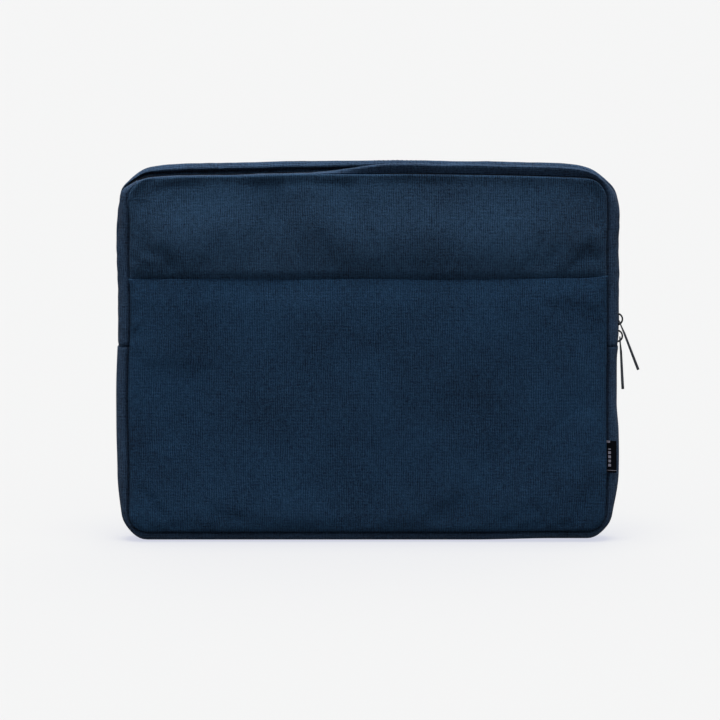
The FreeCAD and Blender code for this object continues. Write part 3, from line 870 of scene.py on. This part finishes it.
def folded_ends(s, sections):
    """Rows added at both ends of a run, where the cloth turns under itself: (further, deeper)."""
    turn = [(0.5, 0.12), (0.85, 0.5), (0.9, 1.0), (0.6, 1.5), (-0.2, 1.75), (-2.5, 1.8)]
    last = sections[-1]
    tangent = np.gradient(last, axis=0)
    inward = unit(np.stack([-tangent[:, 1], tangent[:, 0]], -1))
    lowered = [last + inward * deeper for _, deeper in turn]
    ends = [s[-1] + further for further, _ in turn]
    starts = [s[0] - further for further, _ in turn][::-1]
    return np.concatenate([starts, s, ends]), np.concatenate([lowered[::-1], sections, lowered])


def gusset():
    s = along(-LAP_S, LAP_S, 2.0)
    piece = make_mesh("gusset_cloth", [sweep(*folded_ends(s, gusset_sections(s)))], SIDES_PAINTED_SHEEN, CLOTH_T)
    place(piece, "outer_cloth", "gusset_shell")

    pad = through([(-1.2, -8.8), (0.4, -9.8), (3.9, -9.2), (6.4, -6.4), (6.9, 0), (6.4, 6.4), (3.9, 9.2),
                   (0.4, 9.8), (-1.2, 8.8)], 25)
    side_low, corner = HALF - R_LOW + QUARTER * R_LOW, HALF - R_LOW
    runs = {
        "right": (side_low, LAP_S - 1, pad),
        "left": (SEAM_LENGTH - LAP_S + 1, SEAM_LENGTH - side_low, pad),
        "bottom": (-corner, corner, pad * (0.78, 1)),
    }
    for run, (start, end, section) in runs.items():
        at = along(start, end, 4.0)
        held = (gusset_bulge(at) / GUSSET_BULGE if run != "bottom" else 1 + 0 * at)[:, None, None]
        sections = section[None] * np.concatenate([held, 1 + 0 * held], -1)
        piece = make_mesh(f"gusset_padding_{run}", [sweep(at, sections)], FOAM, GUSSET_FOAM_T)
        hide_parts(f"gusset_foam_{run}")
        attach(piece, "sleeve")

    edge_y = LINING_Y - 0.3
    section = through([(-2.5, -edge_y), (-2.3, -4), (-2.2, 0), (-2.3, 4), (-2.5, edge_y)], 13)
    piece = make_mesh("gusset_lining_cloth", [sweep(s, section)], LINING, LINING_T)
    place(piece, "lining_cloth", "gusset_lining")


# ---- zip ----
# the strips' sections (out, y), from the sewn edge over the folded lip: at the sides, along the top's
# right-hand part, and along its left-hand part
STRIP_POINTS = 40
FRONT_SHAPES = (
    [(-2.0, -10.4), (-0.9, -10.6), (0.2, -11.8), (1.8, -12.8), (4.5, -12.3), (6.7, -10.6), (7.9, -8.4),
     (8.2, -6.7), (7.8, -5.6), (6.8, -5.5), (5.6, -6.2), (4.9, -7.6), (4.8, -10.0)],
    [(-2.0, -10.4), (-0.9, -10.6), (0.2, -11.1), (1.8, -11.9), (4.4, -13.3), (6.7, -13.9), (7.9, -12.7),
     (7.9, -10.4), (6.9, -8.8), (5.2, -7.4), (3.6, -6.8), (2.6, -7.6), (2.3, -10.0)],
    [(-2.0, -10.4), (-1.8, -11.0), (-1.5, -11.6), (-1.1, -11.6), (-0.9, -10.8), (-0.9, -9.6), (-0.9, -8.2),
     (-1.0, -6.9), (-1.3, -5.8), (-1.8, -5.5), (-2.1, -6.2), (-2.2, -7.6), (-2.3, -10.0)],
)
REAR_SHAPES = (
    [(-2.0, 10.4), (-0.9, 10.6), (0.2, 11.8), (1.8, 12.8), (4.8, 12.3), (7.3, 10.6), (8.7, 8.4),
     (9.1, 6.7), (8.6, 5.5), (7.3, 5.4), (5.8, 6.2), (5.0, 7.6), (4.8, 10.0)],
    [(-2.0, 10.4), (-0.9, 10.6), (0.2, 11.8), (1.8, 12.8), (5.0, 12.2), (7.4, 10.6), (8.3, 8.6),
     (7.7, 6.8), (6.2, 5.6), (4.6, 5.2), (3.2, 5.6), (2.4, 7.2), (2.2, 10.0)],
    [(-2.0, 10.4), (-0.9, 10.6), (0.2, 11.8), (1.8, 12.7), (4.8, 12.0), (6.8, 10.6), (7.4, 8.9),
     (6.6, 7.2), (5.2, 5.8), (3.9, 4.7), (2.9, 4.5), (1.4, 6.0), (-0.2, 10.0)],
)
# sign of y, strip shapes and seed of the strip's ripple
ZIP_SIDES = {"front": (-1, FRONT_SHAPES, 81), "rear": (1, REAR_SHAPES, 91)}


def zip_shares(s):
    """How far each place on the zip has the side's shape, and the top's right-hand shape."""
    point, outward = seam(s)
    side = 1 - smooth((np.abs(outward[:, 1]) - 0.25) / 0.75)
    right = smooth((point[:, 0] + 47) / 66)
    return side, right


def zip_blend(s, side_shape, right_shape, left_shape):
    side, right = (w[:, None, None] for w in zip_shares(s))
    return side * side_shape + (1 - side) * (right * right_shape + (1 - right) * left_shape)


def corner_tuck(s):
    """How far the zip still stands out where the corners draw it in."""
    from_corner = np.minimum(np.abs(s - CORNER_S), np.abs(SEAM_LENGTH - CORNER_S - s))
    drawn = np.where(s < SEAM_LENGTH / 2, 0.46, 0.4)  # right, left
    return 1 - drawn * np.exp(-((from_corner / 15) ** 2))


def strip_sections(s, side):
    """A strip's sections, rippled along its free edge and drawn in at the laps and the top corners."""
    sign, shapes, seed = ZIP_SIDES[side]
    sections = zip_blend(s, *(through(shape, STRIP_POINTS) for shape in shapes))
    along_strip = np.linspace(0, 1, STRIP_POINTS)[None, :]
    free = smooth((along_strip - 0.2) / 0.35)
    ripple = 0.3 * waves(s, 0 * s, 34, seed)[:, None] + 0.12 * waves(s, 0 * s, 13, seed + 1)[:, None]
    at_side = zip_shares(s)[0]
    ripple = ripple * (0.4 + 0.6 * at_side[:, None])
    sway = 0.3 * waves(s, 0 * s, 52, seed + 2)[:, None]
    end = np.minimum(s - LAP_S, SEAM_LENGTH - LAP_S - s)
    under_lap = 1 - smooth((end - 0.4) / 2.4)
    drawn = np.where(s < SEAM_LENGTH / 2, 0.12, 0.0)  # only the right-hand end is drawn in
    tucked = 1 - drawn * (1 - smooth((end + 1) / 48)) - 0.07 * under_lap
    tucked = tucked + corner_tuck(s) - 1 - 0.15 * (1 - at_side)
    sections[..., 1] *= 1 - 0.2 * under_lap[:, None]
    out = sections[..., 0] + free * ripple
    sections[..., 0] = out * np.where(out > 0, tucked[:, None], 1.0)  # the sewn edge stays in its seam
    sections[..., 1] += sign * free * sway
    return sections


def zip_run(step, spare=3.0):
    return along(LAP_S - spare, SEAM_LENGTH - LAP_S + spare, step)


def zip_part(name, grid, material, thickness, side, nodes, slot, flip=False):
    """A piece of the zip. Front pieces have their placement baked into their mesh, rear pieces ride on the
    sleeve.
    """
    piece = make_mesh(name, [grid], material, thickness, flip=flip)
    place(piece, slot, *nodes, bends=side == "front")


def side_nodes(kind, side):
    return [f"{kind}_front", f"{kind}_front_fixed"] if side == "front" else [f"{kind}_rear"]


def tape_points(sign):
    """Sections of a tape, from its sewn edge to the coil: at the sides, on the top's right and left."""
    depths = (11.0, 8.0, 5.0, 2.5, 0.4)
    side = [(TAPE_SIDE + 0.1, sign * y) for y in depths]
    high = [(TAPE_TOP - 0.1 - 0.05 * y, sign * y) for y in depths]
    low = [(TAPE_TOP - 3.4 - 0.02 * y, sign * y) for y in depths]
    return side, high, low


def coil(side):
    """One half of the zip's coil: a helix of monofilament whose loops meet the other half's."""
    sign = ZIP_SIDES[side][0]
    pitch, reach_out, reach_y, wire, middle_y = 1.35, 0.72, 1.5, 0.27, 1.22
    start, end = LAP_S + 1, SEAM_LENGTH - LAP_S - 1
    turns = int((end - start) / pitch)
    steps = 12
    t = np.arange(turns * steps + 1) / steps
    phase = 0.0 if side == "front" else 0.5
    s = start + (t + phase * 0.9) * pitch  # the rear half's loops lie between the front half's
    share_side, share_right = zip_shares(s)
    top_out = TAPE_TOP + 0.75 * share_right - 2.6 * (1 - share_right)
    middle = share_side * (TAPE_SIDE + 1.1) + (1 - share_side) * (top_out + 0.3)
    middle = middle * corner_tuck(s)
    angle = 2 * math.pi * (t + phase)
    point, outward = seam(s)
    out = middle + reach_out * np.cos(angle)
    y = sign * middle_y + reach_y * np.sin(angle)
    flat = point + outward * out[:, None]
    line = np.stack([flat[:, 0], y, flat[:, 1]], -1)
    return tube(line, wire, 6)


def tube(line, radius, sides):
    """A round tube about a line, as one grid."""
    tangent = unit(np.gradient(line, axis=0))
    across = unit(np.cross(tangent, np.array([0.137, 0.91, 0.39])))  # a direction that no line here takes
    up = np.cross(across, tangent)
    a = np.linspace(0, 2 * math.pi, sides + 1)
    radius = np.broadcast_to(radius, len(line))[:, None, None]
    offset = across[:, None] * np.cos(a)[None, :, None] + up[:, None] * np.sin(a)[None, :, None]
    position = line[:, None] + offset * radius
    reach = lengths(line)
    uv = np.stack(np.broadcast_arrays(a[None, :] * radius[:, :, 0], reach[:, None]), -1)
    return position, uv


def zip_half(side):
    """The strip, tape, facing and coil of one side of the zip."""
    sign = ZIP_SIDES[side][0]
    flip = side == "rear"
    s = zip_run(1.6)
    strip = sweep(s, strip_sections(s, side))
    nodes = side_nodes("zip_strip", side)
    zip_part(f"zip_strip_{side}_cloth", strip, SIDES_PAINTED_SHEEN, STRIP_T, side, nodes, "outer_cloth", flip)

    s = zip_run(2.5)
    tape = zip_blend(s, *(through(points, 12) for points in tape_points(sign)))
    tape[..., 0] *= corner_tuck(s)[:, None]
    nodes = side_nodes("zip_tape", side)
    zip_part(f"zip_tape_{side}_cloth", sweep(s, tape), TAPE_WITH_PAINTED_SHADE, TAPE_T, side, nodes, "zip_tape", flip)

    facing = sweep(s, tape[:, :7] - np.array([0.6, 0]))
    nodes = side_nodes("zip_strip_lining", side)
    zip_part(f"zip_facing_{side}_cloth", facing, LINING, LINING_T, side, nodes, "lining_cloth", flip)

    nodes = side_nodes("zip_coil", side)
    zip_part(f"zip_coil_{side}_wire", coil(side), COIL, 0, side, nodes, "zip_coil")


# ---- bindings and stitches ----
def seam_binding(name, sign, nodes, front):
    """Folded tape over the raw seam inside, from the lining's edge to its own folded lip."""
    bulge = [(-2.8, 0.1), (-3.2, 1.0), (-4.4, 1.3), (-6.6, 1.2), (-8.4, 1.05), (-9.0, 0.6), (-8.8, 0.1)]
    section = through([(out, sign * (CAVITY_Y - rise)) for out, rise in bulge], 17)
    s = along(0, SEAM_LENGTH, 2.2)
    piece = make_mesh(name, [sweep(s, section)], BINDING, 0.35, flip=sign < 0)
    place(piece, "seam_tape", *nodes, bends=front)


def stitch_row(name, line, normal, length=2.6, gap=0.9, radius=0.21):
    """Threads sunk into cloth along a line, as one mesh. normal points out of the cloth."""
    line = settle(line)
    reach = lengths(line)
    grids = []
    for start in np.arange(0.4, reach[-1] - length, length + gap):
        t = np.linspace(0, 1, 6)
        at = start + t * length
        p = np.stack([np.interp(at, reach, line[:, k]) for k in range(3)], -1)
        n = np.stack([np.interp(at, reach, normal[:, k]) for k in range(3)], -1)
        arch = 0.16 * np.sin(math.pi * t) - 0.14
        grids.append(tube(p + n * arch[:, None], radius * (0.45 + 0.55 * np.sin(math.pi * t)), 6))
    return make_mesh(name, grids, THREAD, weld=False)


# ---- label ----
def label():
    """A folded satin ribbon caught in the front seam."""
    x_in, x_out = HALF - 1.5, LABEL_HIGH[0]
    y = (LABEL_LOW[1] + LABEL_HIGH[1]) / 2
    loop = [(x_in, y + 0.5), (HALF + 1.2, y - 0.25), (HALF + 3.5, y - 0.5), (x_out - 0.9, y - 0.5),
            (x_out - 0.15, y - 0.3), (x_out, y), (x_out - 0.15, y + 0.3), (x_out - 0.9, y + 0.45),
            (HALF + 3.0, y + 0.45), (x_in, y + 0.9)]
    section = through(loop, 40)
    z = np.linspace(LABEL_LOW[2], LABEL_HIGH[2], 30)
    curl = 0.35 * np.sin((z - z[0]) / (z[-1] - z[0]) * math.pi * 1.3)
    position = np.zeros((len(z), len(section), 3))
    position[..., 0] = section[None, :, 0]
    position[..., 1] = section[None, :, 1] + curl[:, None] * smooth((section[None, :, 0] - HALF) / 6)
    position[..., 2] = z[:, None] - 0.25 * smooth((section[None, :, 0] - HALF) / 6)
    reach = lengths(section)
    uv = np.stack(np.broadcast_arrays(reach[None, :], (z - z[0])[:, None]), -1)
    piece = make_mesh("side_label_ribbon", [(position, uv)], LABEL, 0.22)
    place(piece, "label_cloth", "side_label")


def lap_stitches():
    """Two rows across each end of the closed gusset, where it is sewn down over the zip."""
    for hand, sign in (("right", 1), ("left", -1)):
        for number, drop in enumerate((7.0, 11.5)):
            s0 = LAP_S - drop
            section = gusset_sections(np.array([s0]))[0][4:-4]
            section = through(section, 60)
            point, outward = seam(np.array([s0]))
            line = np.stack(
                [sign * (point[0, 0] + section[:, 0]), section[:, 1], 0 * section[:, 0] + point[0, 1]], -1
            )
            tangent = unit(np.gradient(section, axis=0))
            normal = np.stack([sign * tangent[:, 1], -tangent[:, 0], 0 * tangent[:, 0]], -1)
            place(stitch_row(f"lap_stitches_{hand}_{number + 1}", line, normal), "outer_cloth")


def strip_stitches():
    """The row that holds each cloth strip to the zip's tape, halfway along the strip's section."""
    for side, (sign, _, _) in ZIP_SIDES.items():
        s = zip_run(1.0, spare=-1.0)
        sections = strip_sections(s, side)
        k = STRIP_POINTS // 2
        point, outward = seam(s)
        out, y = sections[:, k, 0], sections[:, k, 1]
        tangent = unit(sections[:, k + 1] - sections[:, k - 1])
        n_out, n_y = sign * tangent[:, 1], -sign * tangent[:, 0]
        flip = np.sign(n_out + 1e-9)
        n_out, n_y = n_out * flip, n_y * flip
        flat = point + outward * out[:, None]
        line = np.stack([flat[:, 0], y, flat[:, 1]], -1)
        normal = np.stack([outward[:, 0] * n_out, n_y, outward[:, 1] * n_out], -1)
        piece = stitch_row(f"strip_stitches_{side}", line, normal)
        place(piece, "outer_cloth", bends=side == "front")


# ---- hardware: the CAD's own shapes ----
def hardware():
    for node in frame["nodes"].values():
        name = node["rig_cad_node"]
        if name.startswith(("slider", "zip_stop", "pull")):
            node.data.materials.clear()
            node.data.materials.append(PULL_METAL if name.startswith("pull") else ZIP_METAL)


# ---- stage ----
def studio():
    scene = bpy.context.scene
    scene.view_settings.view_transform = "Standard"

    bpy.ops.mesh.primitive_plane_add(size=60, location=(0, 0, 0))
    floor = bpy.context.object
    floor.name = "floor"
    m = Shader("floor_paper")
    where = m.node("ShaderNodeTexCoord").outputs["Object"]
    grain = m.noise(300.0, where)
    m.put(m.surface.inputs["Emission Strength"], 1.0)
    m.put(m.surface.inputs["Emission Color"], rgb(0.60, 0.617, 0.725))
    paper = m.mix(grain, rgb(0.20, 0.19, 0.12), rgb(0.206, 0.196, 0.126))
    floor.data.materials.append(m.finish(paper, grain, 0.00002, Roughness=0.9, Specular_IOR_Level=0.0))
    floor.visible_diffuse = False
    floor.visible_glossy = False

    # a dome that is bright above and dim below
    world = bpy.data.worlds.new("studio")
    world.use_nodes = True
    tree = world.node_tree
    direction = tree.nodes.new("ShaderNodeTexCoord").outputs["Generated"]
    height = tree.nodes.new("ShaderNodeSeparateXYZ")
    tree.links.new(direction, height.inputs[0])
    dome = tree.nodes.new("ShaderNodeMapRange")
    tree.links.new(height.outputs["Z"], dome.inputs["Value"])
    for socket, value in (("From Min", -0.3), ("From Max", 0.9), ("To Min", 0.12), ("To Max", 0.66)):
        dome.inputs[socket].default_value = value
    background = tree.nodes["Background"]
    background.inputs[0].default_value = rgb(0.97, 0.98, 1.0)
    tree.links.new(dome.outputs["Result"], background.inputs[1])
    scene.world = world

    def sun(name, azimuth, elevation, strength, softness):
        light = bpy.data.lights.new(name, "SUN")
        light.energy = strength
        light.angle = math.radians(softness)
        lamp = bpy.data.objects.new(name, light)
        a, e = math.radians(azimuth), math.radians(elevation)
        towards = Vector((math.sin(a) * math.cos(e), -math.cos(a) * math.cos(e), math.sin(e)))
        lamp.rotation_mode = "QUATERNION"
        lamp.rotation_quaternion = towards.to_track_quat("Z", "Y")
        scene.collection.objects.link(lamp)

    sun("overhead_softbox", -5, 84, 2.9, 36)
    sun("front_fill", -8, 38, 0.12, 60)
    sun("back_fill", 170, 35, 0.45, 60)

    camera = bpy.data.objects.new("camera", bpy.data.cameras.new("camera"))
    scene.collection.objects.link(camera)
    distance, width, elevation = 5.0, 0.544, math.radians(8)
    target = Vector((-0.0057, 0, 0.1368))
    back = Vector((0, -math.cos(elevation), math.sin(elevation)))
    camera.location = target + back * distance
    camera.rotation_mode = "QUATERNION"
    camera.rotation_quaternion = back.to_track_quat("Z", "Y")
    camera.data.sensor_width = 36
    camera.data.lens = 36 * distance / width
    camera.data.clip_start, camera.data.clip_end = 0.05, 100
    scene.camera = camera


front_wall()
back_wall()
blend_mouth(padding("front_padding", -1, front_depth, ["front_foam_lower", "front_foam_flap"]))
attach(padding("back_padding", 1, back_depth, ["back_foam"]), "sleeve")
blend_mouth(lining("front_lining_cloth", -1, 51, ["front_lining_lower", "front_lining_flap"]))
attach(lining("back_lining_cloth", 1, 53, ["back_lining"]), "sleeve")
pocket()
gusset()
for side in ZIP_SIDES:
    zip_half(side)
seam_binding("seam_binding_front_tape", -1, ["seam_binding_front_lower", "seam_binding_front_flap"], True)
seam_binding("seam_binding_back_tape", 1, ["seam_binding_back"], False)
label()
lap_stitches()
strip_stitches()
hardware()
studio()
